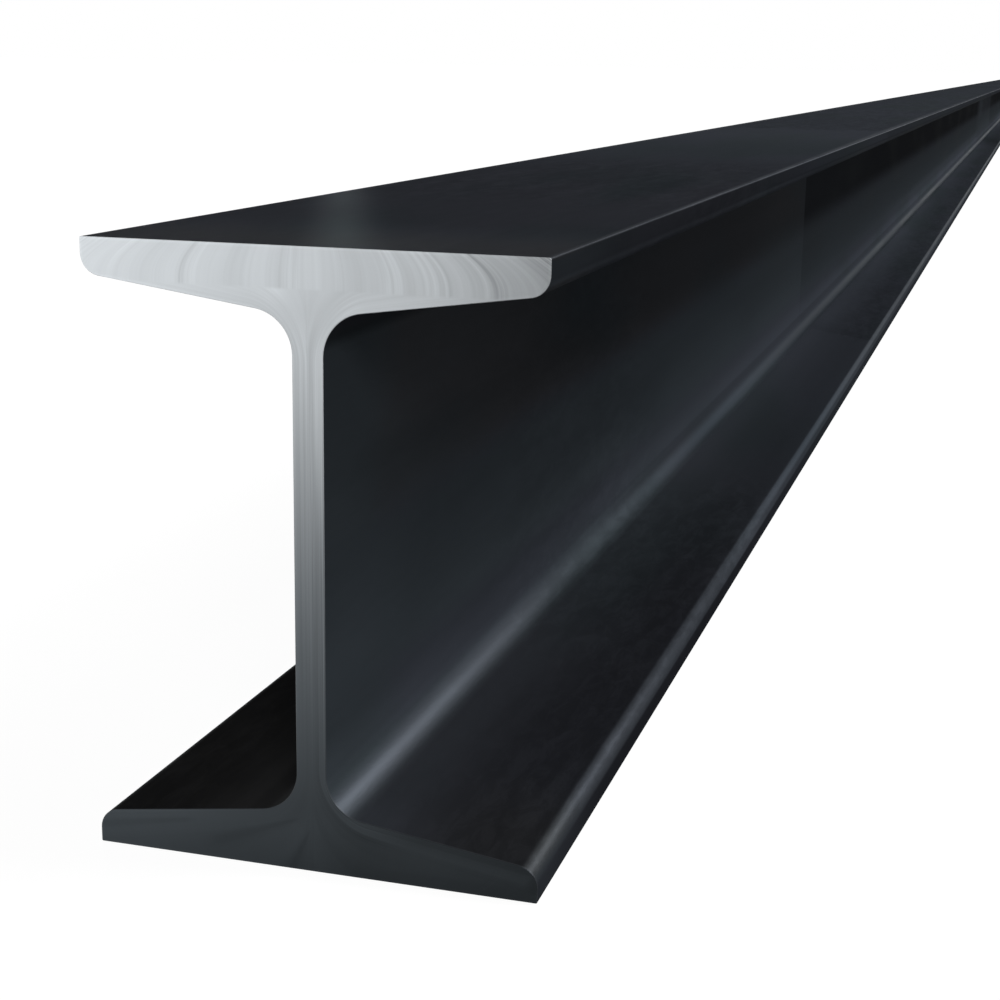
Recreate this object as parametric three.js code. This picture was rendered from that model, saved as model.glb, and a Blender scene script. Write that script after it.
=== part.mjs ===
// Hot-rolled steel I-beam with tapered flanges, one length of bare stock.
// Section 100 x 75 x 5/8 mm, saw-cut square at both ends.
//
// Millimetres. X runs along the beam, Y across the flanges, Z up the web.
// The origin is under the middle of the length, on the underside of the bottom flange.

import * as THREE from 'three';

// Section, as rolled.
const DEPTH = 100;                  // outside of one flange to outside of the other
const FLANGE_WIDTH = 75;            // toe to toe
const WEB_THICKNESS = 5;
const FLANGE_THICKNESS = 8;         // halfway between the web's face and the toe
const FLANGE_SLOPE = THREE.MathUtils.degToRad(8);   // of each flange's inner face
const ROOT_RADIUS = 7;              // hollow fillet where the web meets a flange
const TOE_RADIUS = 3.5;             // round along the inner edge of each toe
const OUTER_EDGE_RADIUS = 0.25;     // slight round that rolling leaves on a square edge

// One standard stock length.
const LENGTH = 6000;

// Flat steps that each round is made of.
const ROOT_STEPS = 12;
const TOE_STEPS = 8;
const OUTER_EDGE_STEPS = 3;

const QUARTER_TURN = Math.PI / 2;

// An arc as points, from one angle to another round a centre.
function arc(centreY, centreZ, radius, from, to, steps) {
  const clockwise = to < from;
  return new THREE.EllipseCurve(
    centreY, centreZ, radius, radius, from, to, clockwise,
  ).getPoints(steps);
}

// One quarter of the section, from the web's face out to the middle of the flange's outer
// face. Y is measured from the web's middle plane and Z from the middle of the depth.
function quarterSection() {
  const webFace = WEB_THICKNESS / 2;
  const toeFace = FLANGE_WIDTH / 2;
  const outerFace = DEPTH / 2;
  const gaugeLine = (webFace + toeFace) / 2;

  // Height of the flange's sloping inner face at a distance from the web's middle.
  const innerFace = (y) => (
    outerFace - FLANGE_THICKNESS + (y - gaugeLine) * Math.tan(FLANGE_SLOPE)
  );

  // Each round touches the sloping face, so its centre is one radius off that slope.
  const rootY = webFace + ROOT_RADIUS;
  const rootZ = innerFace(rootY) - ROOT_RADIUS / Math.cos(FLANGE_SLOPE);
  const toeY = toeFace - TOE_RADIUS;
  const toeZ = innerFace(toeY) + TOE_RADIUS / Math.cos(FLANGE_SLOPE);
  const edgeY = toeFace - OUTER_EDGE_RADIUS;
  const edgeZ = outerFace - OUTER_EDGE_RADIUS;

  return [
    ...arc(rootY, rootZ, ROOT_RADIUS, Math.PI, QUARTER_TURN + FLANGE_SLOPE, ROOT_STEPS),
    ...arc(toeY, toeZ, TOE_RADIUS, FLANGE_SLOPE - QUARTER_TURN, 0, TOE_STEPS),
    ...arc(edgeY, edgeZ, OUTER_EDGE_RADIUS, 0, QUARTER_TURN, OUTER_EDGE_STEPS),
  ];
}

// The whole outline: the quarter, mirrored about the web and about the middle of the depth.
function beamSection() {
  const quarter = quarterSection();
  const mirrored = (signY, signZ) => quarter.map(
    (point) => new THREE.Vector2(signY * point.x, DEPTH / 2 + signZ * point.y),
  );
  return new THREE.Shape([
    ...mirrored(1, 1),
    ...mirrored(-1, 1).reverse(),
    ...mirrored(-1, -1),
    ...mirrored(1, -1).reverse(),
  ]);
}

// The section drawn out along X, centred on the origin.
function beamGeometry() {
  const geometry = new THREE.ExtrudeGeometry(beamSection(), {
    depth: LENGTH,
    steps: 1,
    bevelEnabled: false,
  });
  const across = new THREE.Vector3(0, 1, 0);
  const up = new THREE.Vector3(0, 0, 1);
  const along = new THREE.Vector3(1, 0, 0);
  geometry.applyMatrix4(new THREE.Matrix4().makeBasis(across, up, along));
  geometry.translate(-LENGTH / 2, 0, 0);
  return geometry;
}

// Blue-black mill scale, as the section leaves the rolls.
const millScale = new THREE.MeshStandardMaterial({
  name: 'mill_scale',
  color: 0x2e3236,
  roughness: 0.5,
  metalness: 0.6,
});

const beam = new THREE.Mesh(beamGeometry(), millScale);
beam.name = 'i_beam';

const part = new THREE.Group();
part.add(beam);

export default part;
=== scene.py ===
# %% [markdown]
# # A hot-rolled steel I-beam
#
# The beam is one piece of steel: two tapered flanges and a thin web, rolled together from a hot
# billet and then sawn square. Nothing is bolted or welded to it, so its whole look comes from
# two surfaces. The rolled faces carry mill scale, a thin blue-black oxide. The two sawn ends
# show bare steel.
#
# The lesson loads the exact model first. It then builds a finer skin over it, makes one
# material for each surface, and ends with the camera and the studio.

# %% Load the exact model
import math

import bmesh
import bpy
from mathutils import Matrix, Vector


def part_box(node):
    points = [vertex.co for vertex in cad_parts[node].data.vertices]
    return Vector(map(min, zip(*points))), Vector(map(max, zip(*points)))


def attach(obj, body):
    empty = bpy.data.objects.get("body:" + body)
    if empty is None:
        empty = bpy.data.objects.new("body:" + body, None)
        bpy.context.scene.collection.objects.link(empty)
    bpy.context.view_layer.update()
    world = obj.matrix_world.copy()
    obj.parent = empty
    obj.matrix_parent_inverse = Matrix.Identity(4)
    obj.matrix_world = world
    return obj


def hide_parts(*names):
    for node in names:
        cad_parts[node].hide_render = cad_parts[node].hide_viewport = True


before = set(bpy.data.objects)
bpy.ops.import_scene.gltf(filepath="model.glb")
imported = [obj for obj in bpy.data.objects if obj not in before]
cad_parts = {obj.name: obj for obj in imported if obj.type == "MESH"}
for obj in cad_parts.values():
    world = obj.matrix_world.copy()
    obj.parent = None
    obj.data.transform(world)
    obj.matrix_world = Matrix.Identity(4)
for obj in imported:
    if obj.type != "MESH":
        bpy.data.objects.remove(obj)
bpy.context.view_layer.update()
beam_low, beam_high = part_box("i_beam")
LENGTH, WIDTH, DEPTH = beam_high - beam_low
print(f"beam: {LENGTH:.3f} m long, {WIDTH * 1000:.1f} mm wide, {DEPTH * 1000:.1f} mm deep")

# %% [markdown]
# ## The section
#
# Rollers squeeze the flanges, so their inner faces slope and every inner corner is round. The
# shape is known from seven sizes. A mesh could be traced by hand, but working the outline out
# from those sizes keeps each round exactly tangent to the faces it joins.
#
# Each point carries its outward direction. It is needed later, to pull the outline in evenly
# where the saw has left a small chamfer.

# %% Sizes of the section, in metres
WEB = 0.005
FLANGE = 0.008
SLOPE = math.radians(8.0)
ROOT_RADIUS = 0.007
TOE_RADIUS = 0.0035
EDGE_RADIUS = 0.00025

ROOT_STEPS = 20
TOE_STEPS = 14
EDGE_STEPS = 4
print(f"web {WEB * 1000:.0f} mm, flange {FLANGE * 1000:.0f} mm, slope {math.degrees(SLOPE):.0f} degrees")


# %% One arc, as points with their outward directions
def arc(across, up, radius, start, end, steps, hollow=False):
    points = []
    for step in range(steps + 1):
        angle = start + (end - start) * step / steps
        direction = Vector((math.cos(angle), math.sin(angle)))
        place = Vector((across, up)) + radius * direction
        points.append((place, -direction if hollow else direction))
    return points


# %% A quarter of the section, from the web's face to the flange's outer face
WEB_FACE = WEB / 2
TOE_FACE = WIDTH / 2
OUTER_FACE = DEPTH / 2
GAUGE_LINE = (WEB_FACE + TOE_FACE) / 2
QUARTER_TURN = math.pi / 2


def inner_face(across):
    return OUTER_FACE - FLANGE + (across - GAUGE_LINE) * math.tan(SLOPE)


def quarter_section():
    root_across = WEB_FACE + ROOT_RADIUS
    root_up = inner_face(root_across) - ROOT_RADIUS / math.cos(SLOPE)
    toe_across = TOE_FACE - TOE_RADIUS
    toe_up = inner_face(toe_across) + TOE_RADIUS / math.cos(SLOPE)
    edge_across = TOE_FACE - EDGE_RADIUS
    edge_up = OUTER_FACE - EDGE_RADIUS
    root_end = QUARTER_TURN + SLOPE
    root = arc(root_across, root_up, ROOT_RADIUS, math.pi, root_end, ROOT_STEPS, hollow=True)
    toe = arc(toe_across, toe_up, TOE_RADIUS, SLOPE - QUARTER_TURN, 0, TOE_STEPS)
    edge = arc(edge_across, edge_up, EDGE_RADIUS, 0, QUARTER_TURN, EDGE_STEPS)
    return root + toe + edge


print(f"a quarter of the section: {len(quarter_section())} points")


# %% The whole outline, by mirroring the quarter twice
def mirrored(points, across_sign, up_sign):
    flip = Vector((across_sign, up_sign))
    return [(place * flip, outward * flip) for place, outward in points]


def beam_section():
    quarter = quarter_section()
    return (
        mirrored(quarter, 1, 1)
        + mirrored(quarter, -1, 1)[::-1]
        + mirrored(quarter, -1, -1)
        + mirrored(quarter, 1, -1)[::-1]
    )


section = beam_section()
print(f"section outline: {len(section)} points")

# %% [markdown]
# ## Sweeping the section along the beam
#
# A rolled bar is its section drawn out straight, so the skin is a row of equal rings joined by
# four-sided faces. A curve with a bevel object would do the same in fewer lines, but it can't
# make the saw's chamfer. A deburring file takes a tenth of a millimetre off each sawn edge,
# and that narrow facet is what catches the light round a real end.
#
# The rings are half a metre apart. Their edges are marked as seams, so an unwrapped map is laid
# out as short strips and not as a few six-metre ribbons.

# %% Where the rings stand
CHAMFER = 0.0001
SEAM_SPACING = 0.5

spans = round(LENGTH / SEAM_SPACING)
inner_stops = [-LENGTH / 2 + LENGTH * k / spans for k in range(1, spans)]
# Each ring is (place along the beam, how far its outline is pulled in).
rings = (
    [(-LENGTH / 2, CHAMFER), (-LENGTH / 2 + CHAMFER, 0.0)]
    + [(stop, 0.0) for stop in inner_stops]
    + [(LENGTH / 2 - CHAMFER, 0.0), (LENGTH / 2, CHAMFER)]
)
print(f"{len(rings)} rings, {LENGTH / spans:.2f} m apart")

# %% Join the rings with faces
ROLLED, SAWN = 0, 1


def ring_of_vertices(mesh, along, pull_in):
    made = []
    for place, outward in section:
        across, up = place - outward * pull_in
        made.append(mesh.verts.new((along, across, up + DEPTH / 2)))
    return made


def build_skin():
    mesh = bmesh.new()
    hoops = [ring_of_vertices(mesh, along, pull_in) for along, pull_in in rings]
    last = len(hoops) - 1
    count = len(section)
    for k in range(last):
        near, far = hoops[k], hoops[k + 1]
        surface = SAWN if k in (0, last - 1) else ROLLED
        for n in range(count):
            m = (n + 1) % count
            face = mesh.faces.new((near[n], far[n], far[m], near[m]))
            face.material_index = surface
            face.smooth = True
    for hoop in hoops[1:-1]:
        for n in range(count):
            mesh.edges.get((hoop[n], hoop[(n + 1) % count])).seam = True
    for cap in (hoops[0], hoops[-1][::-1]):
        face = mesh.faces.new(cap)
        face.material_index = SAWN
    return mesh


skin = build_skin()
print(f"skin: {len(skin.verts)} vertices")

# %% Sharpen the sawn rims and make the object
bmesh.ops.recalc_face_normals(skin, faces=skin.faces)
caps = [face for face in skin.faces if len(face.verts) > 4]
for cap in caps:
    for edge in cap.edges:
        edge.smooth = False
bmesh.ops.triangulate(skin, faces=caps)
beam_data = bpy.data.meshes.new("rolled_beam")
skin.to_mesh(beam_data)
skin.free()
beam = bpy.data.objects.new("rolled_beam", beam_data)
bpy.context.scene.collection.objects.link(beam)
print(f"rolled_beam: {len(beam_data.polygons)} faces")

# %% [markdown]
# ## Helpers for shader groups
#
# A finish is made of small effects, such as cloudy scale or the grain of a cut. Each effect is
# a shader node group with named inputs and outputs, built once and placed where it is needed.
# Wiring nodes by hand hides the sums they do, so a small class writes those sums as plain
# calls. Every call adds one node and hands back its output.

# %% Arithmetic on sockets
NUMBER = "NodeSocketFloat"


class Sums:
    """Writes arithmetic on node sockets as plain calls."""

    def __init__(self, tree):
        self.tree = tree

    def plug(self, socket, value):
        if isinstance(value, bpy.types.NodeSocket):
            self.tree.links.new(value, socket)
        else:
            socket.default_value = value

    def node(self, kind, **inputs):
        made = self.tree.nodes.new(kind)
        for name, value in inputs.items():
            self.plug(made.inputs[name.replace("_", " ")], value)
        return made

    def math(self, operation, *values):
        made = self.tree.nodes.new("ShaderNodeMath")
        made.operation = operation
        for socket, value in zip(made.inputs, values):
            self.plug(socket, value)
        return made.outputs[0]

    def ramp(self, value, start, end, low=0.0, high=1.0):
        """Goes smoothly from low to high while the value goes from start to end."""
        made = self.node(
            "ShaderNodeMapRange", Value=value, From_Min=start, From_Max=end, To_Min=low, To_Max=high)
        made.interpolation_type = "SMOOTHSTEP"
        return made.outputs["Result"]

    def length(self, x, y):
        """Is the distance that x one way and y the other make."""
        return self.math("SQRT", self.math(
            "ADD", self.math("MULTIPLY", x, x), self.math("MULTIPLY", y, y)))

    def vector(self, x, y, z):
        return self.node("ShaderNodeCombineXYZ", X=x, Y=y, Z=z).outputs[0]

    def noise(self, place, detail=2.0, roughness=0.5, distortion=0.0):
        """Noise with features about one unit of the given place across."""
        made = self.node(
            "ShaderNodeTexNoise", Vector=place, Scale=1.0, Detail=detail, Roughness=roughness,
            Distortion=distortion)
        return made.outputs["Fac"]

    def hill(self, value, foot, top, top_end, foot_end):
        """Rises from 0 at foot to 1 at top, stays there, and falls from top_end to foot_end."""
        return self.math(
            "MULTIPLY", self.ramp(value, foot, top), self.ramp(value, foot_end, top_end))

    def times(self, *factors):
        whole = factors[0]
        for factor in factors[1:]:
            whole = self.math("MULTIPLY", whole, factor)
        return whole

    def where(self, share, factor):
        """Is the factor where share is 1, and 1 where share is 0."""
        return self.mix_values(share, 1.0, factor)

    def mix_values(self, factor, first, second):
        made = self.tree.nodes.new("ShaderNodeMix")
        for socket, value in zip(made.inputs, (factor, None, first, second)):
            if value is not None:
                self.plug(socket, value)
        return made.outputs[0]

    def mix(self, factor, first, second, blend="MIX"):
        made = self.tree.nodes.new("ShaderNodeMix")
        made.data_type = "RGBA"
        made.blend_type = blend
        self.plug(made.inputs["Factor"], factor)
        self.plug(made.inputs[6], first)
        self.plug(made.inputs[7], second)
        return made.outputs[2]


# %% Helpers that make a group and place it
def new_group(name, inputs, outputs):
    """Makes an empty group. Gives the sums of its tree, its inputs and its outputs."""
    tree = bpy.data.node_groups.new(name, "ShaderNodeTree")
    for label, default in inputs:
        socket = tree.interface.new_socket(label, in_out="INPUT", socket_type=NUMBER)
        socket.default_value = default
    for label in outputs:
        tree.interface.new_socket(label, in_out="OUTPUT", socket_type=NUMBER)
    given = tree.nodes.new("NodeGroupInput").outputs
    made = tree.nodes.new("NodeGroupOutput").inputs
    return Sums(tree), given, made


def use_group(sums, group, **inputs):
    """Places a group in a tree and gives its outputs."""
    made = sums.tree.nodes.new("ShaderNodeGroup")
    made.node_tree = group
    for name, value in inputs.items():
        sums.plug(made.inputs[name.replace("_", " ")], value)
    return made.outputs


# %% [markdown]
# ## Where a point lies on the section
#
# Scale, rubbed edges and the grain of a sawn face all depend on the place within the section,
# not on a texture map. One shader group reads the object's own coordinates and gives them in
# millimetres: how far out from the web, how high, and how deep below the nearer flange's face.
# Round is 0 on a flat face and 1 halfway through a rounded corner, End facing is 1 on the flat of
# a sawn end, and Up facing goes from -1 below to 1 above. They come from the way a face points.
# Every other group starts from these, so the finish stays on the steel from any side.

# %% The group that says where a point lies
MILLIMETRES = 1000.0
HALF_LENGTH_MM = LENGTH / 2 * MILLIMETRES
HALF_DEPTH_MM = OUTER_FACE * MILLIMETRES
TOE_FACE_MM = TOE_FACE * MILLIMETRES


def make_section_place():
    names = (
        "Along", "Across", "Side", "Height", "Below face", "From end", "End facing", "Up facing",
        "Round")
    sums, _, made = new_group("Section place", [], names)
    where = sums.tree.nodes.new("ShaderNodeTexCoord")
    place = sums.node("ShaderNodeSeparateXYZ", Vector=where.outputs["Object"]).outputs
    facing = sums.node("ShaderNodeSeparateXYZ", Vector=where.outputs["Normal"]).outputs
    along = sums.math("MULTIPLY", place["X"], MILLIMETRES)
    side = sums.math("MULTIPLY", place["Y"], MILLIMETRES)
    height = sums.math("MULTIPLY", place["Z"], MILLIMETRES)
    from_middle = sums.math("ABSOLUTE", sums.math("SUBTRACT", height, HALF_DEPTH_MM))
    turned = sums.math("ABSOLUTE", sums.math("MULTIPLY", facing["Y"], facing["Z"]))
    sums.plug(made["Along"], along)
    sums.plug(made["Across"], sums.math("ABSOLUTE", side))
    sums.plug(made["Side"], side)
    sums.plug(made["Height"], height)
    sums.plug(made["Below face"], sums.math("SUBTRACT", HALF_DEPTH_MM, from_middle))
    sums.plug(made["From end"], sums.math("SUBTRACT", HALF_LENGTH_MM, sums.math("ABSOLUTE", along)))
    sums.plug(made["End facing"], sums.math("ABSOLUTE", facing["X"]))
    sums.plug(made["Up facing"], facing["Z"])
    sums.plug(made["Round"], sums.math("MULTIPLY", turned, 2.0))
    return sums.tree


section_place = make_section_place()
print("shader group:", section_place.name)


# %% Shares for the parts of the section
def on_web(sums, place):
    return sums.ramp(place["Below face"], 11.0, 15.0)


def on_outer_face(sums, place):
    return sums.ramp(place["Below face"], 1.0, 0.0)


def in_lower_half(sums, place):
    return sums.ramp(place["Height"], 55.0, 45.0)


def outside(sums, share):
    return sums.math("SUBTRACT", 1.0, share)


# %% A place to look up noise at, stretched along and across the beam
def stretched(sums, place, along, across):
    return sums.vector(
        sums.math("DIVIDE", place["Along"], along),
        sums.math("DIVIDE", place["Side"], across),
        sums.math("DIVIDE", place["Height"], across))


# %% [markdown]
# ## Fine grit
#
# Both surfaces have a fine tooth that breaks up their shine: pitted oxide on the rolled faces,
# saw marks on the cut ones. An image texture would show its pixels close up. Noise that is
# stretched along one direction has no pixels, and its values also serve as the bump's height.

# %% The group for fine grit
def make_fine_grit():
    sums, given, made = new_group(
        "Fine grit", [("Grain along", 1.0), ("Grain across", 1.0)], ["Grit"])
    place = use_group(sums, section_place)
    spot = stretched(sums, place, given["Grain along"], given["Grain across"])
    sums.plug(made["Grit"], sums.noise(spot, detail=3.0, roughness=0.6))
    return sums.tree


fine_grit = make_fine_grit()
print("shader group:", fine_grit.name)

# %% [markdown]
# ## Rubbed edges and their sheen
#
# Handling rubs the scale off the outer edges of the flanges and off the rim of each sawn end, and leaves
# thin bright lines. Along the outer edges of the flanges the lines are partly rubbed scale and partly a
# painted highlight. The distance to the nearest outer corner gives the first. It is stretched, so that
# the line reaches further onto the face than down the side, and widens as a painted highlight along the
# bar away from its ends. The distance to the end gives the second, and noise breaks both up so that they
# don't look drawn.

# %% The group for rubbed edges and their painted sheen
def make_edge_rub_and_sheen():
    sums, given, made = new_group(
        "Edge rub and sheen", [("Width", 1.0), ("End width", 0.5), ("Broken", 0.5)], ["Rub"])
    place = use_group(sums, section_place)
    out = sums.math("DIVIDE", sums.math("SUBTRACT", TOE_FACE_MM, place["Across"]), sums.ramp(
        place["From end"], 0.0, 700.0, 1.4, 5.0))
    down = sums.math("MULTIPLY", place["Below face"], 2.0)
    at_corner = sums.ramp(sums.length(out, down), 0.0, given["Width"], 1.0, 0.0)
    at_end = sums.ramp(place["From end"], 0.0, given["End width"], 1.0, 0.0)
    at_end = sums.math("MULTIPLY", at_end, sums.ramp(place["End facing"], 0.8, 0.98, 1.0, 0.0))
    patchy = sums.ramp(sums.noise(stretched(sums, place, 40.0, 3.0), detail=4.0), 0.35, 0.65)
    kept = outside(sums, sums.math("MULTIPLY", given["Broken"], outside(sums, patchy)))
    sums.plug(made["Rub"], sums.math("MULTIPLY", sums.math("MAXIMUM", at_corner, at_end), kept))
    return sums.tree


edge_rub_and_sheen = make_edge_rub_and_sheen()
print("shader group:", edge_rub_and_sheen.name)

# %% [markdown]
# ## Clouds in the scale
#
# Scale grows while the bar cools, thicker where the air is still and thinner where it moves, so
# its tone drifts from slate to a green grey in soft patches that the rolls have drawn out. On
# the flanges it also breaks into finer wisps and small patches, and the rolls leave faint long
# streaks. Four sizes of noise give these, each drawn out along the bar. A voronoi pattern would
# look like cracked mud, which scale on a new bar doesn't.

# %% The group for clouds, wisps, patches and streaks
def make_scale_clouds():
    sums, given, made = new_group(
        "Scale clouds", [("Cloud along", 90.0), ("Cloud across", 22.0), ("Wisp", 6.0)],
        ["Clouds", "Wisps", "Patches", "Streaks"])
    place = use_group(sums, section_place)

    clouds = sums.noise(
        stretched(sums, place, given["Cloud along"], given["Cloud across"]), detail=1.5)
    wisp_along = sums.math("MULTIPLY", given["Wisp"], 3.0)
    wisps = sums.noise(
        stretched(sums, place, wisp_along, given["Wisp"]), detail=5.0, roughness=0.7,
        distortion=0.6)
    patches = sums.noise(stretched(sums, place, 40.0, 7.0), detail=3.0, distortion=0.8)
    streaks = sums.noise(stretched(sums, place, 400.0, 2.5), detail=3.0, roughness=0.6)
    sums.plug(made["Clouds"], sums.ramp(clouds, 0.4, 0.75))
    sums.plug(made["Wisps"], sums.ramp(wisps, 0.35, 0.7))
    sums.plug(made["Patches"], sums.ramp(patches, 0.42, 0.60))
    sums.plug(made["Streaks"], streaks)
    return sums.tree


scale_clouds = make_scale_clouds()
print("shader group:", scale_clouds.name)

# %% [markdown]
# ## Painted light and shade in the tone of the scale
#
# The tone of the scale follows the section, and most of it is painted light and shade. High on the web,
# under the flange, a painted shadow of the flange makes it dark. Low on the web and beside the root it
# is lighter, with a painted glow from the root's highlight, and towards the toe it is dark again. It
# also steps along the bar: before each step the web is a light stretch, and after it the painted shadow
# high on the web is dark.
#
# Vertex colours could hold this, but they would need a far denser mesh. Plain functions of
# place, one for the web and one for each flange, give the same as a single factor near 1.

# %% How the tone of the web changes
BAND_FOOT_MM = 48.0
BAND_FULL_MM = 60.0


def web_tone(sums, place, to_step, before_step, since_step):
    height, from_end = place["Height"], place["From end"]
    in_band = sums.ramp(height, BAND_FOOT_MM, BAND_FULL_MM)
    near_end = sums.math("MULTIPLY", in_band, sums.hill(to_step, 420.0, 570.0, 600.0, 750.0))
    band_tone = sums.mix_values(near_end, 0.63, 0.93)
    band_edge = sums.hill(height, BAND_FOOT_MM, BAND_FULL_MM, 62.0, 72.0)
    middle = sums.hill(height, 24.0, 36.0, 46.0, 58.0)
    beyond = outside(sums, before_step)
    low, far = sums.ramp(height, 33.0, 24.0), sums.ramp(since_step, 250.0, 900.0)
    return sums.times(
        # The painted shadow of the flange high on the web, its lower edge, and the middle of the web.
        sums.mix_values(sums.ramp(height, 50.0, 20.0), band_tone, 0.97),
        sums.where(band_edge, sums.ramp(from_end, 35.0, 3.0, 0.70, 0.90)),
        sums.where(middle, sums.ramp(from_end, 55.0, 8.0, 0.94, 1.22)),
        # Beside the root, a painted glow from the root's highlight.
        sums.ramp(height, 24.0, 16.0, 1.0, 1.38),
        sums.where(sums.times(
            sums.hill(from_end, 40.0, 90.0, 150.0, 230.0), sums.ramp(height, 30.0, 22.0)), 0.86),
        # Above the middle, just before a step.
        sums.where(sums.times(
            sums.hill(height, 50.0, 60.0, 74.0, 84.0), sums.ramp(to_step, 300.0, 180.0)), 0.88),
        # Beyond a step, a darker painted shadow high on the web and a lighter foot.
        sums.where(sums.times(sums.ramp(height, 52.0, 63.0), beyond), sums.ramp(
            since_step, 0.0, 450.0, 0.35, 0.20)),
        sums.where(sums.times(sums.ramp(height, 23.0, 17.0), beyond), 1.09),
        sums.where(sums.times(low, beyond), sums.mix_values(far, 1.13, 1.45)),
        sums.mix_values(before_step, 0.78, 1.0))


# %% How the tone of the flanges changes
def top_flange_tone(sums, place, to_step, before_step, since_step):
    """Is a tone that steps along the bar and is lighter at the sawn end."""
    tone = sums.mix_values(
        before_step, sums.ramp(since_step, 100.0, 450.0, 0.715, 0.79),
        sums.ramp(to_step, 350.0, 260.0, 0.72, 0.83))
    return sums.math("MULTIPLY", tone, sums.ramp(place["From end"], 50.0, 8.0, 1.0, 1.42))


def bottom_flange_tone(sums, place, to_step, before_step, since_step, toe_share):
    """Is a tone that is lightest beside the root, where a glow from the root's highlight is painted, and
    just before a step.
    """
    from_end, across = place["From end"], place["Across"]
    inner_share = outside(sums, toe_share)
    dark_stretch = sums.hill(to_step, 340.0, 460.0, 520.0, 585.0)
    end_edge = sums.math("MULTIPLY", sums.ramp(from_end, 15.0, 2.0), inner_share)
    end_strip = sums.math("MULTIPLY", sums.ramp(from_end, 95.0, 60.0), sums.hill(
        across, 13.0, 16.0, 22.0, 25.0))
    past_step = sums.math("MULTIPLY", sums.ramp(since_step, 900.0, 600.0), inner_share)
    return sums.times(
        sums.mix_values(before_step, sums.ramp(since_step, 100.0, 550.0, 0.76, 0.95), 0.75),
        sums.ramp(to_step, 340.0, 170.0, 1.0, 1.12),
        sums.where(sums.ramp(since_step, 35.0, 5.0), 0.9),
        sums.where(past_step, 1.12),
        sums.where(dark_stretch, sums.mix_values(toe_share, 0.88, 0.78)),
        sums.ramp(across, 17.0, 9.5, 1.0, 1.14),
        sums.where(end_edge, 1.15),
        sums.where(end_strip, 0.9))


# %% The group for the tone of the scale, mostly painted light and shade
STEP_SPACING_MM = 3000.0
FIRST_STEP_MM = 590.0


def make_scale_tone_and_shade():
    sums, given, made = new_group(
        "Scale tone and shade", [("Toe", 0.72), ("Side", 0.55)], ["Tone", "Toe share", "Mottled"])
    place = use_group(sums, section_place)
    past_end = sums.math("ADD", place["Along"], HALF_LENGTH_MM)
    to_step = sums.math("MULTIPLY", STEP_SPACING_MM, sums.math("FRACT", sums.math(
        "DIVIDE", sums.math("SUBTRACT", FIRST_STEP_MM, past_end), STEP_SPACING_MM)))
    since_step = sums.math("SUBTRACT", STEP_SPACING_MM, to_step)
    before_step = sums.ramp(to_step, 825.0, 600.0)

    toe_share = sums.math(
        "MULTIPLY", sums.ramp(place["Across"], 12.0, 30.0), sums.ramp(place["Below face"], 3.5, 5.0))
    lower = in_lower_half(sums, place)
    flange = sums.mix_values(
        lower, top_flange_tone(sums, place, to_step, before_step, since_step),
        bottom_flange_tone(sums, place, to_step, before_step, since_step, toe_share))
    flange = sums.math("MULTIPLY", flange, sums.mix_values(toe_share, 1.0, given["Toe"]))
    tone = sums.mix_values(
        on_web(sums, place), flange, web_tone(sums, place, to_step, before_step, since_step))
    # The side faces of the flanges are painted darker as shade, the lower ones less so near the end.
    side_face = sums.ramp(place["Across"], TOE_FACE_MM - 0.5, TOE_FACE_MM)
    side_tone = sums.math("MULTIPLY", given["Side"], sums.where(
        lower, sums.ramp(place["From end"], 50.0, 10.0, 1.0, 1.6)))
    tone = sums.math("MULTIPLY", tone, sums.mix_values(side_face, 1.0, side_tone))
    sums.plug(made["Tone"], tone)
    sums.plug(made["Toe share"], toe_share)
    sums.plug(made["Mottled"], sums.where(sums.hill(to_step, 0.0, 20.0, 290.0, 360.0), 0.15))
    return sums.tree


scale_tone_and_shade = make_scale_tone_and_shade()
print("shader group:", scale_tone_and_shade.name)

# %% [markdown]
# ## A painted reflection on the top
#
# Near one end a soft light band, a few millimetres wide, lies on the top of the beam. It is a painted
# reflection, where the scale is made lighter and more metallic. The band runs slantwise from the middle
# of the sawn end to the left edge. It is the distance to one straight line, faded at both sides.

# %% The group for the painted reflection
REFLECTION_FROM_END_MM = 15.5
REFLECTION_SLANT = math.radians(21.2)


def make_painted_reflection():
    sums, given, made = new_group("Painted reflection", [("Width", 5.0)], ["Mark"])
    place = use_group(sums, section_place)
    from_end = sums.math("ADD", place["Along"], HALF_LENGTH_MM - REFLECTION_FROM_END_MM)
    off_line = sums.math("ABSOLUTE", sums.math(
        "SUBTRACT", sums.math("MULTIPLY", place["Side"], math.cos(REFLECTION_SLANT)),
        sums.math("MULTIPLY", from_end, math.sin(REFLECTION_SLANT))))
    core = sums.math("POWER", sums.ramp(off_line, given["Width"], 0.0), 1.6)
    halo = sums.ramp(off_line, sums.math("MULTIPLY", given["Width"], 2.5), 0.0)
    reflection_band = sums.math("ADD", sums.math("MULTIPLY", core, 0.8), sums.math("MULTIPLY", halo, 0.2))
    on_top = sums.ramp(place["Height"], 2 * HALF_DEPTH_MM - 0.5, 2 * HALF_DEPTH_MM - 0.1)
    sums.plug(made["Mark"], sums.math("MULTIPLY", reflection_band, on_top))
    return sums.tree


painted_reflection = make_painted_reflection()
print("shader group:", painted_reflection.name)
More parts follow.
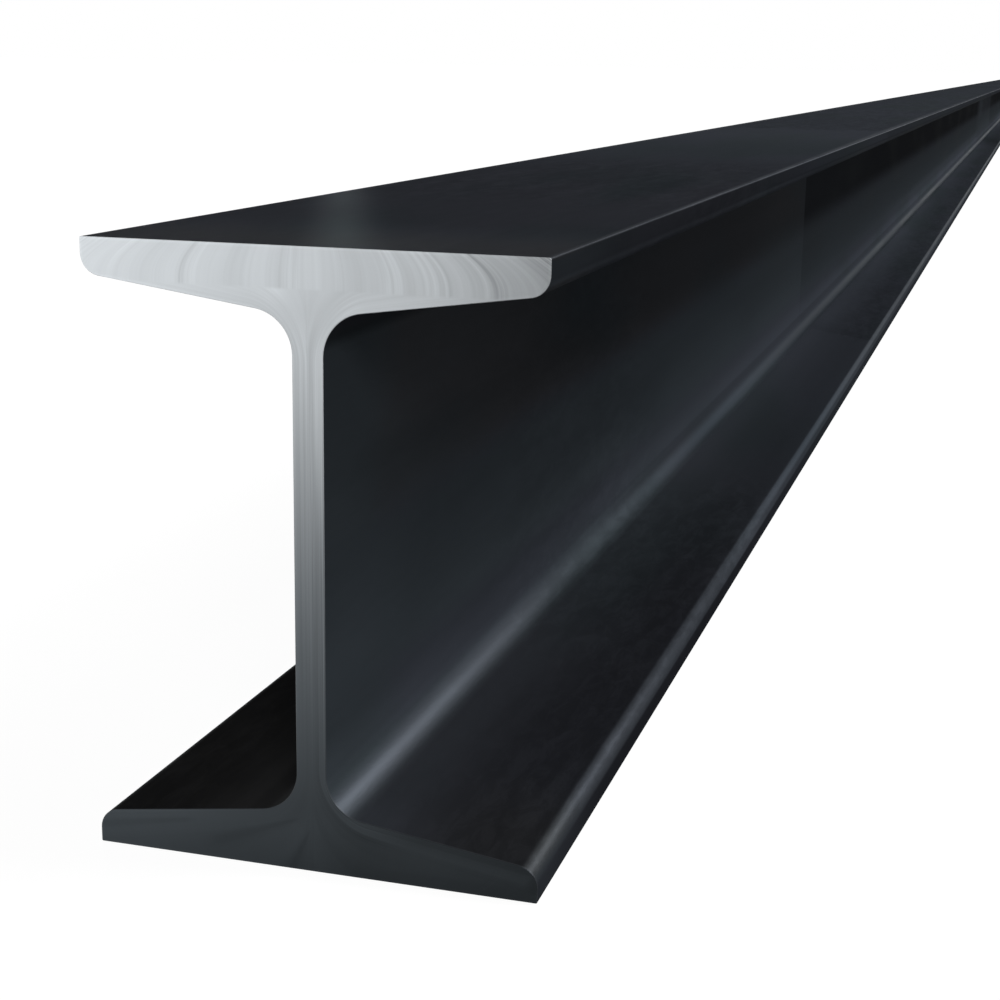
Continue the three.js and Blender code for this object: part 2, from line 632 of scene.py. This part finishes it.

# %% [markdown]
# ## Mill scale
#
# Scale is an oxide, so most of its light comes from its own dark grey, and a little from a metal-like
# shine. Where the rolls press hardest, in the root rounds and at the toes, the scale is burnished and
# shines more. The metallic share is therefore low on the flats and rises with Round, and the base colour
# of these rounds is lighter as a painted highlight. A glossy coat would turn pale wherever the beam is
# seen at a low angle, which rough scale doesn't, so the specular layer is off and the metal's edge tint
# is a dull blue grey.
#
# The material is worked out in steps: where the scale is burnished and its highlight painted, how
# mottled it is, how light it is with its painted light and shade, its colour, and last the metallic
# share and the roughness.

# %% Colours of mill scale
SLATE = (0.0300, 0.0322, 0.0392, 1.0)
BLUE_SLATE = (0.0287, 0.0324, 0.0404, 1.0)
GREEN_GREY = (0.0271, 0.0330, 0.0384, 1.0)
PLAIN_GREY = (0.0303, 0.0318, 0.0355, 1.0)
SHADED_GREY = (0.0322, 0.0322, 0.0330, 1.0)
RUBBED_SHEEN = (0.042, 0.045, 0.051, 1.0)
POLISH_AND_SHEEN_TINT = (0.94, 1.03, 0.95, 1.0)
EDGE_TINT = (0.485, 0.50, 0.522, 1.0)
print(f"slate reflects {sum(SLATE[:3]) / 3:.1%} of the light")


def new_material(name):
    material = bpy.data.materials.new(name)
    material.use_nodes = True
    tree = material.node_tree
    return material, Sums(tree), tree.nodes["Principled BSDF"].inputs


def shaded(sums, colour, tone):
    grey = sums.node("ShaderNodeCombineColor", Red=tone, Green=tone, Blue=tone).outputs[0]
    return sums.mix(1.0, colour, grey, blend="MULTIPLY")


# %% Where the scale is burnished and its highlight painted
ROOT_ACROSS_MM = (WEB_FACE + ROOT_RADIUS) * MILLIMETRES


def near_root(sums, place):
    return sums.ramp(place["Across"], ROOT_ACROSS_MM + 2.5, ROOT_ACROSS_MM + 0.5)


def at_lower_left(sums, place):
    return sums.math("MULTIPLY", sums.ramp(place["Side"], 2.0, 3.0), sums.ramp(
        place["Height"], 20.0, 15.0))


def burnish_and_sheen_of(sums, place):
    """Is 1 where the rolls polished a round and its highlight is painted, and 0 on the flats."""
    up = place["Up facing"]
    root = near_root(sums, place)
    root_away_from_end = sums.math("MULTIPLY", root, sums.ramp(place["From end"], 60.0, 350.0))
    toe = sums.ramp(place["Across"], 30.0, 33.0)
    outer_toe = sums.times(
        toe, sums.ramp(up, 0.77, 0.50), in_lower_half(sums, place),
        sums.ramp(place["From end"], 150.0, 300.0))
    shaded_root = sums.math("MULTIPLY", at_lower_left(sums, place), root)
    return sums.times(
        sums.ramp(place["Round"], 0.3, 0.65),
        # Rounds that face down are hardly polished and get little painted highlight.
        sums.ramp(up, -0.2, 0.1, 0.2, 1.0),
        # Away from the end, only the flatter part of a root is.
        sums.where(root_away_from_end, sums.ramp(up, 0.45, 0.78)),
        # The shine of a toe starts a little way round it.
        sums.where(toe, sums.ramp(up, 0.98, 0.88)),
        # Away from the end, the outer half of a lower toe is duller.
        sums.where(outer_toe, 0.35),
        # The root at the lower left lies in shade and shines less.
        sums.where(shaded_root, 0.4))


# %% How mottled the scale is
def mottle_of(sums, place, depth, clouds):
    """Is a tone near 1, in wisps and patches. They are faint just before a step and on the web."""
    outer_face = sums.math("MULTIPLY", on_outer_face(sums, place), sums.ramp(
        place["From end"], 100.0, 300.0))
    inner_strip = sums.math("MULTIPLY", sums.where(on_web(sums, place), 0.55), sums.mix_values(
        sums.hill(place["From end"], 80.0, 130.0, 200.0, 280.0), 0.2, 0.7))
    inner_face = sums.mix_values(depth["Toe share"], inner_strip, 1.0)
    share = sums.math("MULTIPLY", depth["Mottled"], sums.math("MAXIMUM", outer_face, inner_face))
    wisps = sums.ramp(clouds["Wisps"], 0.0, 1.0, 0.88, 1.12)
    patches = sums.ramp(clouds["Patches"], 0.0, 1.0, 0.92, 1.05)
    return sums.where(share, sums.math("MULTIPLY", wisps, patches))


# %% How bright the painted highlight of the burnished rounds is
def shine_of(sums, place):
    """Is the tone of the polished roots and toes, a painted highlight. It is brightest about 0.2 m from
    the end.
    """
    up, from_end = place["Up facing"], place["From end"]
    root_shine = sums.times(
        sums.ramp(from_end, 300.0, 650.0, 1.05, 0.50),
        sums.where(sums.hill(from_end, 130.0, 190.0, 240.0, 320.0), 1.35),
        sums.ramp(from_end, 40.0, 0.0, 1.0, 1.1),
        # Away from the end, it fades softly into the flange.
        sums.where(sums.times(
            sums.ramp(up, 0.80, 0.94), sums.ramp(from_end, 320.0, 420.0)), 1.5))
    toe_shine = sums.times(
        sums.ramp(from_end, 350.0, 800.0, 1.04, 0.62),
        sums.where(sums.ramp(from_end, 190.0, 140.0), 0.83),
        sums.where(sums.hill(from_end, 170.0, 230.0, 270.0, 350.0), 1.28))
    return sums.mix_values(sums.ramp(place["Across"], 12.0, 30.0), root_shine, toe_shine)


# %% How light the scale is
def scale_tone(sums, place, depth, clouds, burnish_and_sheen):
    up = place["Up facing"]
    root = near_root(sums, place)
    shine = shine_of(sums, place)
    # A thin painted dark reflection follows the shine of the lower roots, where the web begins.
    dark_reflection_line = sums.times(
        root, sums.ramp(place["From end"], 60.0, 350.0),
        sums.ramp(up, 0.05, 0.25), sums.ramp(up, 0.60, 0.40))
    # Painted shade darkens the rounds of the upper flange that face down, and the root at the lower
    # left.
    upper_root = sums.math("MULTIPLY", root, sums.ramp(up, -0.05, -0.40))
    upper_toe = sums.times(
        sums.ramp(place["Across"], 33.0, 35.0), sums.ramp(place["Height"], 45.0, 55.0),
        sums.ramp(up, -0.05, -0.30), sums.ramp(place["From end"], 200.0, 350.0))
    shaded_root = sums.math("MULTIPLY", root, at_lower_left(sums, place))
    return sums.times(
        sums.mix_values(burnish_and_sheen, depth["Tone"], shine),
        sums.where(dark_reflection_line, 0.7),
        sums.where(upper_root, 0.4),
        sums.where(upper_toe, 0.6),
        sums.where(shaded_root, 0.8),
        mottle_of(sums, place, depth, clouds),
        sums.ramp(clouds["Clouds"], 0.0, 1.0, 1.05, 0.92),
        sums.ramp(clouds["Streaks"], 0.3, 0.7, 0.985, 1.015))


# %% The colour of the scale
def scale_hue(sums, place, depth, clouds):
    """Mixes the greys. Slate turns bluer low on the web and away from the end."""
    height, from_end = place["Height"], place["From end"]
    web = on_web(sums, place)
    low_web = sums.math("MULTIPLY", web, sums.ramp(height, 60.0, 50.0))
    bluer = sums.math("MAXIMUM", low_web, sums.ramp(from_end, 150.0, 400.0))
    hue = sums.mix(bluer, SLATE, BLUE_SLATE)
    # The dark top of the web is plain, and so are the flanges at the sawn end.
    top_web = sums.times(web, sums.ramp(height, 50.0, 60.0), sums.ramp(from_end, 620.0, 560.0))
    flange = sums.math("MAXIMUM", depth["Toe share"], on_outer_face(sums, place))
    flange_end = sums.math("MULTIPLY", flange, sums.ramp(from_end, 40.0, 8.0))
    # The middle of the web is green, and so are the clouds and the web at the sawn end.
    middle = sums.times(web, sums.hill(height, 20.0, 30.0, 48.0, 58.0), 0.9)
    web_end = sums.times(web, sums.ramp(from_end, 45.0, 15.0), 0.9)
    greener = sums.math("MAXIMUM", clouds["Clouds"], sums.math("MAXIMUM", middle, web_end))
    hue = sums.mix(greener, sums.mix(top_web, hue, PLAIN_GREY), GREEN_GREY)
    hue = sums.mix(flange_end, hue, PLAIN_GREY)
    # The lower left, in shade, is painted a plain grey.
    return sums.mix(at_lower_left(sums, place), hue, SHADED_GREY)


def scale_colour(sums, place, depth, clouds, edge_line, tone, polish_and_sheen):
    colour = shaded(sums, scale_hue(sums, place, depth, clouds), tone)
    # The polished rounds with their painted highlight, and the painted reflection on top, are tinted.
    colour = sums.mix(polish_and_sheen, colour, sums.mix(1.0, colour, POLISH_AND_SHEEN_TINT, blend="MULTIPLY"))
    # The rubbed edges are lighter, and a painted highlight makes them lighter still away from the end.
    rubbed_sheen = shaded(sums, RUBBED_SHEEN, sums.ramp(place["From end"], 20.0, 150.0, 1.0, 1.5))
    return sums.mix(edge_line, colour, rubbed_sheen)


# %% Mill scale material
def make_mill_scale():
    material, sums, steel = new_material("rolled_scale")
    place = use_group(sums, section_place)
    clouds = use_group(sums, scale_clouds, Cloud_along=150.0, Cloud_across=30.0, Wisp=3.2)
    # The tone of the scale, most of it painted light and shade.
    depth = use_group(sums, scale_tone_and_shade)
    edge_line = use_group(sums, edge_rub_and_sheen, Width=0.9, End_width=0.5, Broken=0.4)
    grit = use_group(sums, fine_grit, Grain_along=1.6, Grain_across=0.5)
    reflection_band = use_group(sums, painted_reflection, Width=9.5)

    burnish_and_sheen = burnish_and_sheen_of(sums, place)
    tone = scale_tone(sums, place, depth, clouds, burnish_and_sheen)
    polish_and_sheen = sums.math("MAXIMUM", sums.math("MULTIPLY", burnish_and_sheen, 0.4), reflection_band["Mark"])
    sums.plug(steel["Base Color"], scale_colour(
        sums, place, depth, clouds, edge_line["Rub"], tone, polish_and_sheen))

    # The painted reflection is also more metallic, most near the end.
    reflection_metal = sums.math("MULTIPLY", reflection_band["Mark"], sums.ramp(
        place["From end"], 70.0, 10.0, 0.68, 0.95))
    sums.plug(steel["Metallic"], sums.math(
        "MAXIMUM", sums.ramp(burnish_and_sheen, 0.0, 1.0, 0.08, 0.42), reflection_metal))
    rough = sums.ramp(clouds["Clouds"], 0.0, 1.0, 0.50, 0.44)
    sums.plug(steel["Roughness"], sums.math(
        "SUBTRACT", rough, sums.math("MULTIPLY", burnish_and_sheen, 0.13)))
    bump = sums.node("ShaderNodeBump", Strength=0.25, Distance=0.00006, Height=grit["Grit"])
    sums.plug(steel["Normal"], bump.outputs[0])
    steel["Specular IOR Level"].default_value = 0.0
    steel["Specular Tint"].default_value = EDGE_TINT
    return material


mill_scale = make_mill_scale()
print("material:", mill_scale.name)

# %% [markdown]
# ## Flow lines
#
# Rolling draws the steel out in layers, and a sawn and lightly etched end shows them as fine
# lines. Under the outer face of each flange they stand upright, and their tops lean in towards
# the web, the more so near the toes, because the rolls squeezed the steel outwards. Below that
# layer they bend round the root and run down the web, packed close in the web and fanning out
# in the flange.
#
# Each family is noise of one number that is the same all along a line. For the upright ones it
# is the place where the line would meet the bottom of their layer. For the others it is the
# distance in from the skin, compared with a slowly growing power of the distance from the web's
# middle, so that a line leaves the web close to the skin and ends far out in the flange. No
# picture of the lines is needed. A second, slower noise makes them finer in some places than in
# others. In the lower flange the upright ones are faint, and above the web the others are.
# There a few dark streaks fan out from the foot of the web, found by their angle.

# %% The distance in from the skin
ROOT_RADIUS_MM = ROOT_RADIUS * MILLIMETRES
GAUGE_LINE_MM = GAUGE_LINE * MILLIMETRES
FLANGE_MM = FLANGE * MILLIMETRES


def distance_from_skin(sums, across, depth):
    """Is the distance in from the sloping face, the web's face or the root round."""
    thickness = sums.math("SUBTRACT", FLANGE_MM, sums.math(
        "MULTIPLY", sums.math("SUBTRACT", across, GAUGE_LINE_MM), math.tan(SLOPE)))
    above_slope = sums.math("MULTIPLY", sums.math("SUBTRACT", thickness, depth), math.cos(SLOPE))
    inward = sums.math("MAXIMUM", sums.math("SUBTRACT", ROOT_ACROSS_MM, across), 0.0)
    over = sums.math("MAXIMUM", sums.math("ADD", above_slope, ROOT_RADIUS_MM), 0.0)
    from_centre = sums.length(inward, over)
    return sums.math("MAXIMUM", sums.math("SUBTRACT", from_centre, ROOT_RADIUS_MM), 0.0)


# %% Lines and streaks
FAN_SIDE_MM = -1.0
FAN_HEIGHT_MM = 10.0


def lines_of(sums, value, spacing, seed, drift):
    """Broad and fine bands of noise of one value. The fine ones come in groups."""
    def bands(width, shift, detail):
        step = sums.math("DIVIDE", value, sums.math("MULTIPLY", spacing, width))
        row = sums.math("ADD", seed, shift)
        return sums.noise(sums.vector(step, row, drift), detail=detail, roughness=0.6)

    broad = sums.math("SUBTRACT", bands(4.0, 0.0, 1.0), 0.5)
    fine = sums.math("SUBTRACT", bands(1.0, 5.0, 3.0), 0.5)
    grouped = sums.ramp(bands(5.0, 11.0, 0.0), 0.45, 0.60, 0.3, 1.2)
    return sums.math("ADD", sums.math("MULTIPLY", broad, 0.45), sums.math("MULTIPLY", fine, grouped))


def foot_fan(sums, place):
    """Is a tone near 1, for three dark streaks that fan out from the foot of the web."""
    down = sums.math("SUBTRACT", FAN_HEIGHT_MM, place["Height"])
    out = sums.math("SUBTRACT", place["Side"], FAN_SIDE_MM)
    reach = sums.length(down, out)
    angle = sums.math("DEGREES", sums.math("ARCTAN2", down, out))
    away = sums.ramp(reach, 2.5, 5.0)
    outer = sums.math("MULTIPLY", sums.ramp(reach, 21.0, 24.0), sums.hill(
        angle, 8.4, 9.8, 10.2, 11.8))
    middle = sums.times(away, sums.ramp(reach, 22.0, 18.0), sums.hill(
        angle, 16.0, 20.5, 22.0, 26.5))
    inner = sums.math("MULTIPLY", away, sums.hill(angle, 61.0, 65.5, 67.0, 72.0))
    between = sums.math("MULTIPLY", away, sums.hill(angle, 25.0, 32.0, 57.0, 64.0))
    return sums.times(
        sums.where(outer, 0.88), sums.where(middle, 0.89), sums.where(inner, 0.89),
        sums.where(between, 1.06))


# %% The group for flow lines
CORE_MM = 6.3


def make_flow_lines():
    sums, given, made = new_group(
        "Flow lines", [("Spacing", 1.0), ("Bow", 0.17)], ["Lines", "Inset", "Fan"])
    place = use_group(sums, section_place)
    side, across, depth = place["Side"], place["Across"], place["Below face"]
    skin = distance_from_skin(sums, across, depth)

    rise = sums.math("MAXIMUM", sums.math("SUBTRACT", 1.0, sums.math("DIVIDE", depth, CORE_MM)), 0.0)
    far_out = sums.math("POWER", sums.math("DIVIDE", across, TOE_FACE_MM), 12.0)
    lean = sums.times(given["Bow"], sums.math("ADD", 1.0, far_out), sums.math("POWER", rise, 2.5))
    foot = sums.math("MULTIPLY", side, sums.math("ADD", 1.0, lean))
    drift = sums.math("DIVIDE", place["Height"], 60.0)
    upright = lines_of(sums, foot, given["Spacing"], 3.0, drift)

    spread = sums.math("MULTIPLY", 1.5, sums.math("POWER", sums.math("ADD", across, 0.15), 0.3))
    share = sums.math("DIVIDE", skin, sums.math("ADD", skin, spread))
    unlike_sides = sums.ramp(side, -0.6, 0.6, 14.0, 15.5)
    along_skin = lines_of(sums, share, 0.10, unlike_sides, drift)
    in_head = sums.times(sums.ramp(depth, 16.0, 10.0), sums.ramp(place["Height"], 60.0, 80.0))
    near_middle = sums.math("MULTIPLY", sums.ramp(across, 7.0, 2.5), in_head)
    upper_flange = sums.math("MULTIPLY", sums.ramp(across, 6.0, 10.0), in_head)
    lower_toe = sums.math("MULTIPLY", sums.ramp(place["Height"], 20.0, 14.0), sums.ramp(
        side, -8.0, -18.0))
    along_skin = sums.times(
        along_skin, sums.ramp(side, 0.5, -1.0, 1.0, 3.2), sums.where(near_middle, 0.25),
        sums.where(upper_flange, 0.45), sums.where(lower_toe, 0.2))
    in_core = sums.times(sums.ramp(depth, CORE_MM + 0.4, CORE_MM - 0.2), sums.ramp(
        place["Height"], 20.0, 60.0, 0.25, 1.0))
    sums.plug(made["Lines"], sums.mix_values(in_core, along_skin, upright))
    from_toe = sums.math("SUBTRACT", TOE_FACE_MM, across)
    sums.plug(made["Inset"], sums.math("MINIMUM", sums.math("MINIMUM", skin, depth), from_toe))
    sums.plug(made["Fan"], foot_fan(sums, place))
    return sums.tree


flow_lines = make_flow_lines()
print("shader group:", flow_lines.name)

# %% [markdown]
# ## Sawn steel
#
# The saw leaves bare, satin steel. Painted shade makes the face bright at the top, dull below the flange
# and nearly as dark as the scale at its foot, and also darker towards the right. The painted shade is a
# smooth sum of height and side, and well below the flange half of the brightness is gone every 18 mm.
# The flow lines only tint it, and show best where the face is bright.

# %% Sizes and colours of the cut
# The tints of the cut where it is lit and inside its painted shade, and the sizes of that painted shade.
LIT_CUT = (0.600, 0.632, 0.656, 1.0)
SHADED_CUT = (0.635, 0.745, 0.835, 1.0)
SHADE_TOP_MM = 79.5
SHADE_SOFTNESS_MM = 35.0
SHADE_PER_MM = 0.0395
SIDE_PER_MM = 0.0089
CORNER_FROM_MM = 12.0
CORNER_BEND = 0.00075
RIM_TONE = 0.8
print(f"the stain halves the brightness every {math.log(2) / SHADE_PER_MM:.0f} mm")


# %% How far the painted shade darkens the cut
def brightness_of_cut(sums, place, below):
    """Is 1 at the top of the cut and falls towards 0 as the painted shade deepens."""
    from_middle = sums.math("DIVIDE", sums.math(
        "SUBTRACT", place["Height"], HALF_DEPTH_MM), HALF_DEPTH_MM)
    to_side = sums.times(
        place["Side"], SIDE_PER_MM, sums.ramp(from_middle, -1.0, 1.0, 1.24, 0.76))
    past = sums.math("MAXIMUM", sums.math("SUBTRACT", -CORNER_FROM_MM, place["Side"]), 0.0)
    corner = sums.times(past, past, CORNER_BEND, sums.ramp(from_middle, 0.0, 0.9))
    painted_shade = sums.math("ADD", corner, sums.math(
        "SUBTRACT", sums.math("MULTIPLY", below, SHADE_PER_MM), to_side))
    level = sums.math("EXPONENT", sums.math("MULTIPLY", painted_shade, -1.0))
    lower_flange = sums.ramp(place["Height"], 12.0, 7.0)
    upper_flange = sums.times(
        sums.ramp(place["Height"], 90.0, 94.0), sums.hill(place["Side"], -24.0, -8.0, 26.0, 36.0))
    return sums.times(
        level, sums.where(upper_flange, 1.03),
        sums.where(lower_flange, sums.times(
            sums.ramp(place["Across"], 8.0, 28.0, 1.05, 1.17),
            sums.ramp(place["Side"], 0.0, -10.0, 1.05, 0.97))))


def tone_of_lines(sums, place, flow):
    """Is a tone near 1. The lines are strongest at the upper right."""
    strength = sums.times(
        sums.ramp(place["Side"], -14.0, -32.0, 0.65, 1.5),
        sums.ramp(place["Height"], 10.0, 80.0, 0.45, 1.0),
        sums.where(sums.ramp(place["Height"], 12.0, 6.0), 1.5))
    line_tone = sums.math("ADD", 1.0, sums.math("MULTIPLY", strength, flow["Lines"]))
    lower_toe = sums.math("MULTIPLY", sums.ramp(place["Side"], -8.0, -20.0), sums.hill(
        place["Height"], 1.0, 3.0, 14.0, 20.0))
    return sums.times(
        line_tone,
        # Within about half a millimetre of the rim the cut is a little brighter.
        sums.ramp(flow["Inset"], 0.6, 0.1, 1.0, 1.07),
        # At the lower right toe the cut is darker along the skin.
        sums.where(lower_toe, sums.ramp(flow["Inset"], 0.2, 2.6, 0.78, 1.05)))


# %% Sawn steel material
def make_sawn_steel():
    material, sums, steel = new_material("sawn_steel")
    place = use_group(sums, section_place)
    flow = use_group(sums, flow_lines, Spacing=1.2)
    edge_line = use_group(sums, edge_rub_and_sheen, Width=0.5, End_width=0.2, Broken=0.3)
    grit = use_group(sums, fine_grit, Grain_along=0.4, Grain_across=0.25)

    # How far below the top of the painted shade a point lies; the hue turns to the shaded tint there.
    below = sums.math("SUBTRACT", SHADE_TOP_MM, place["Height"])
    below = sums.math("SMOOTH_MAX", below, 0.0, SHADE_SOFTNESS_MM)
    level = sums.times(
        brightness_of_cut(sums, place, below), tone_of_lines(sums, place, flow), flow["Fan"])
    hue = sums.mix(sums.ramp(below, 0.0, 90.0), LIT_CUT, SHADED_CUT)
    base = shaded(sums, hue, level)
    sums.plug(steel["Base Color"], sums.mix(edge_line["Rub"], base, shaded(sums, base, RIM_TONE)))
    sums.plug(steel["Roughness"], sums.ramp(grit["Grit"], 0.3, 0.7, 0.38, 0.48))
    steel["Metallic"].default_value = 0.7
    steel["Specular IOR Level"].default_value = 0.0
    bump = sums.node("ShaderNodeBump", Strength=0.2, Distance=0.00001, Height=flow["Lines"])
    sums.plug(steel["Normal"], bump.outputs[0])
    return material


sawn_steel = make_sawn_steel()
print("material:", sawn_steel.name)

# %% [markdown]
# ## Putting the skin in the model's place
#
# The exact model has the same section, but it is made for measuring and for physics, so its rounds are
# coarse. The skin takes its place: it rides on the same body, hides the plain beam and carries its own
# two materials. The order of the two materials follows the face numbers that the skin was built with.

# %% Dress the beam
beam_data.materials.append(mill_scale)
beam_data.materials.append(sawn_steel)
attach(beam, "root")
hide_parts("i_beam")
print("rolled_beam replaces i_beam on the body root")

# %% [markdown]
# ## The camera
#
# The camera stands a hand's breadth in front of the near end and a little to one side, just
# above the beam, and looks slightly down. So close, the far end shrinks fast, and that shows
# how long the beam is. A camera constraint would aim it, but three plain angles are easier to
# read: pan, tilt and a trace of roll.

# %% The camera
CAMERA_BACK = 0.25014
CAMERA_ASIDE = 0.10273
CAMERA_HEIGHT = 0.12682
CAMERA_PAN = math.radians(16.117)
CAMERA_TILT = math.radians(13.572)
CAMERA_ROLL = math.radians(0.938)
LENS = 65.16

camera_data = bpy.data.cameras.new("camera")
camera_data.lens = LENS
camera_data.clip_start = 0.01
camera = bpy.data.objects.new("camera", camera_data)
bpy.context.scene.collection.objects.link(camera)
bpy.context.scene.camera = camera
turn = (
    Matrix.Rotation(CAMERA_PAN - QUARTER_TURN, 4, "Z")
    @ Matrix.Rotation(QUARTER_TURN - CAMERA_TILT, 4, "X")
    @ Matrix.Rotation(CAMERA_ROLL, 4, "Z")
)
place = Vector((-LENGTH / 2 - CAMERA_BACK, -CAMERA_ASIDE, CAMERA_HEIGHT))
camera.matrix_world = Matrix.Translation(place) @ turn
print(f"camera: {LENS:.0f} mm lens, {CAMERA_BACK * 100:.0f} cm in front of the sawn end")

# %% [markdown]
# ## The floor and the white background
#
# The beam lies on a wide, plain floor, and everything round it looks white. Strong lamps could
# bleach the floor, but they would bleach the steel too. Instead the world is white only to rays
# that come from the camera or from a reflection, and lights the beam with a faint fill. The
# floor does the same: a matt grey paint catches the beam's shadow, and a share of plain white
# glow is mixed in for those rays alone.

# %% The world
WORLD_FILL = 0.12


def white_to_sight(sums):
    """Is 1 for the rays that see the background, directly or in a reflection."""
    path = sums.tree.nodes.new("ShaderNodeLightPath").outputs
    seen = sums.math("MAXIMUM", path["Is Camera Ray"], path["Is Glossy Ray"])
    return sums.math("MAXIMUM", seen, path["Is Transmission Ray"])


world = bpy.data.worlds.new("studio")
world.use_nodes = True
bpy.context.scene.world = world
background = world.node_tree.nodes["Background"].inputs
background["Color"].default_value = (1.0, 1.0, 1.0, 1.0)
world_sums = Sums(world.node_tree)
world_sums.plug(background["Strength"], world_sums.mix_values(
    white_to_sight(world_sums), WORLD_FILL, 1.0))
print(f"world: white to sight, {WORLD_FILL} as light")

# %% The floor
FLOOR_RADIUS = 80.0
FLOOR_BELOW = 0.0002
FLOOR_GREY = (0.6, 0.6, 0.6, 1.0)
GLOW_STRENGTH = 1.13
GLOW_SHARE = 0.85


def make_floor_paint():
    paint, sums, matt = new_material("floor_paint")
    matt["Base Color"].default_value = FLOOR_GREY
    matt["Roughness"].default_value = 1.0
    matt["Specular IOR Level"].default_value = 0.0
    glow = sums.node("ShaderNodeEmission", Strength=GLOW_STRENGTH)
    share = sums.tree.nodes.new("ShaderNodeMixShader")
    sums.plug(share.inputs[0], sums.math("MULTIPLY", white_to_sight(sums), GLOW_SHARE))
    sums.plug(share.inputs[1], sums.tree.nodes["Principled BSDF"].outputs[0])
    sums.plug(share.inputs[2], glow.outputs[0])
    sums.plug(sums.tree.nodes["Material Output"].inputs["Surface"], share.outputs[0])
    return paint


floor_mesh = bmesh.new()
bmesh.ops.create_circle(floor_mesh, cap_ends=True, radius=FLOOR_RADIUS, segments=64)
floor_data = bpy.data.meshes.new("floor")
floor_mesh.to_mesh(floor_data)
floor_mesh.free()
floor = bpy.data.objects.new("floor", floor_data)
bpy.context.scene.collection.objects.link(floor)
floor.location.z = -FLOOR_BELOW
floor_data.materials.append(make_floor_paint())
print(f"floor: {FLOOR_RADIUS:.0f} m in radius")

# %% [markdown]
# ## The lamps
#
# Dark steel shows its shape by what it mirrors. A row of soft, far lamps on the right side draws
# the long highlight in the lower root and on the toe. One from the front lights the sawn end,
# one from behind on the left keeps the hidden side from going black, and a faint one runs along
# the bar. Area lamps close by would fade along six metres of beam, and far lamps don't.

# %% The lamps
def far_lamp(name, azimuth, height, strength, spread):
    """Adds parallel light. The azimuth is turned from the beam's far end towards its right side."""
    lamp = bpy.data.lights.new(name, "SUN")
    lamp.energy = strength
    lamp.angle = math.radians(spread)
    thing = bpy.data.objects.new(name, lamp)
    bpy.context.scene.collection.objects.link(thing)
    turn, lift = math.radians(azimuth), math.radians(height)
    towards = Vector((
        math.cos(turn) * math.cos(lift), -math.sin(turn) * math.cos(lift), math.sin(lift)))
    thing.rotation_euler = towards.to_track_quat("Z", "Y").to_euler()
    print(f"{name}: from {azimuth:.0f} degrees, {height:.0f} degrees up")


far_lamp("key_lamp", 69.0, 43.0, 1.75, 20.0)
far_lamp("high_lamp", 60.0, 58.0, 0.4, 20.0)
far_lamp("low_lamp", 60.0, 20.0, 0.3, 20.0)
far_lamp("left_lamp", 330.0, 12.0, 0.55, 14.0)
far_lamp("front_lamp", 155.0, 30.0, 0.8, 20.0)
far_lamp("far_end_lamp", 18.0, 18.0, 0.20, 20.0)

# %% [markdown]
# ## Finish
#
# The view transform is the plain one, so that a colour comes out as it was written.

# %% Finish
bpy.context.scene.view_settings.view_transform = "Standard"
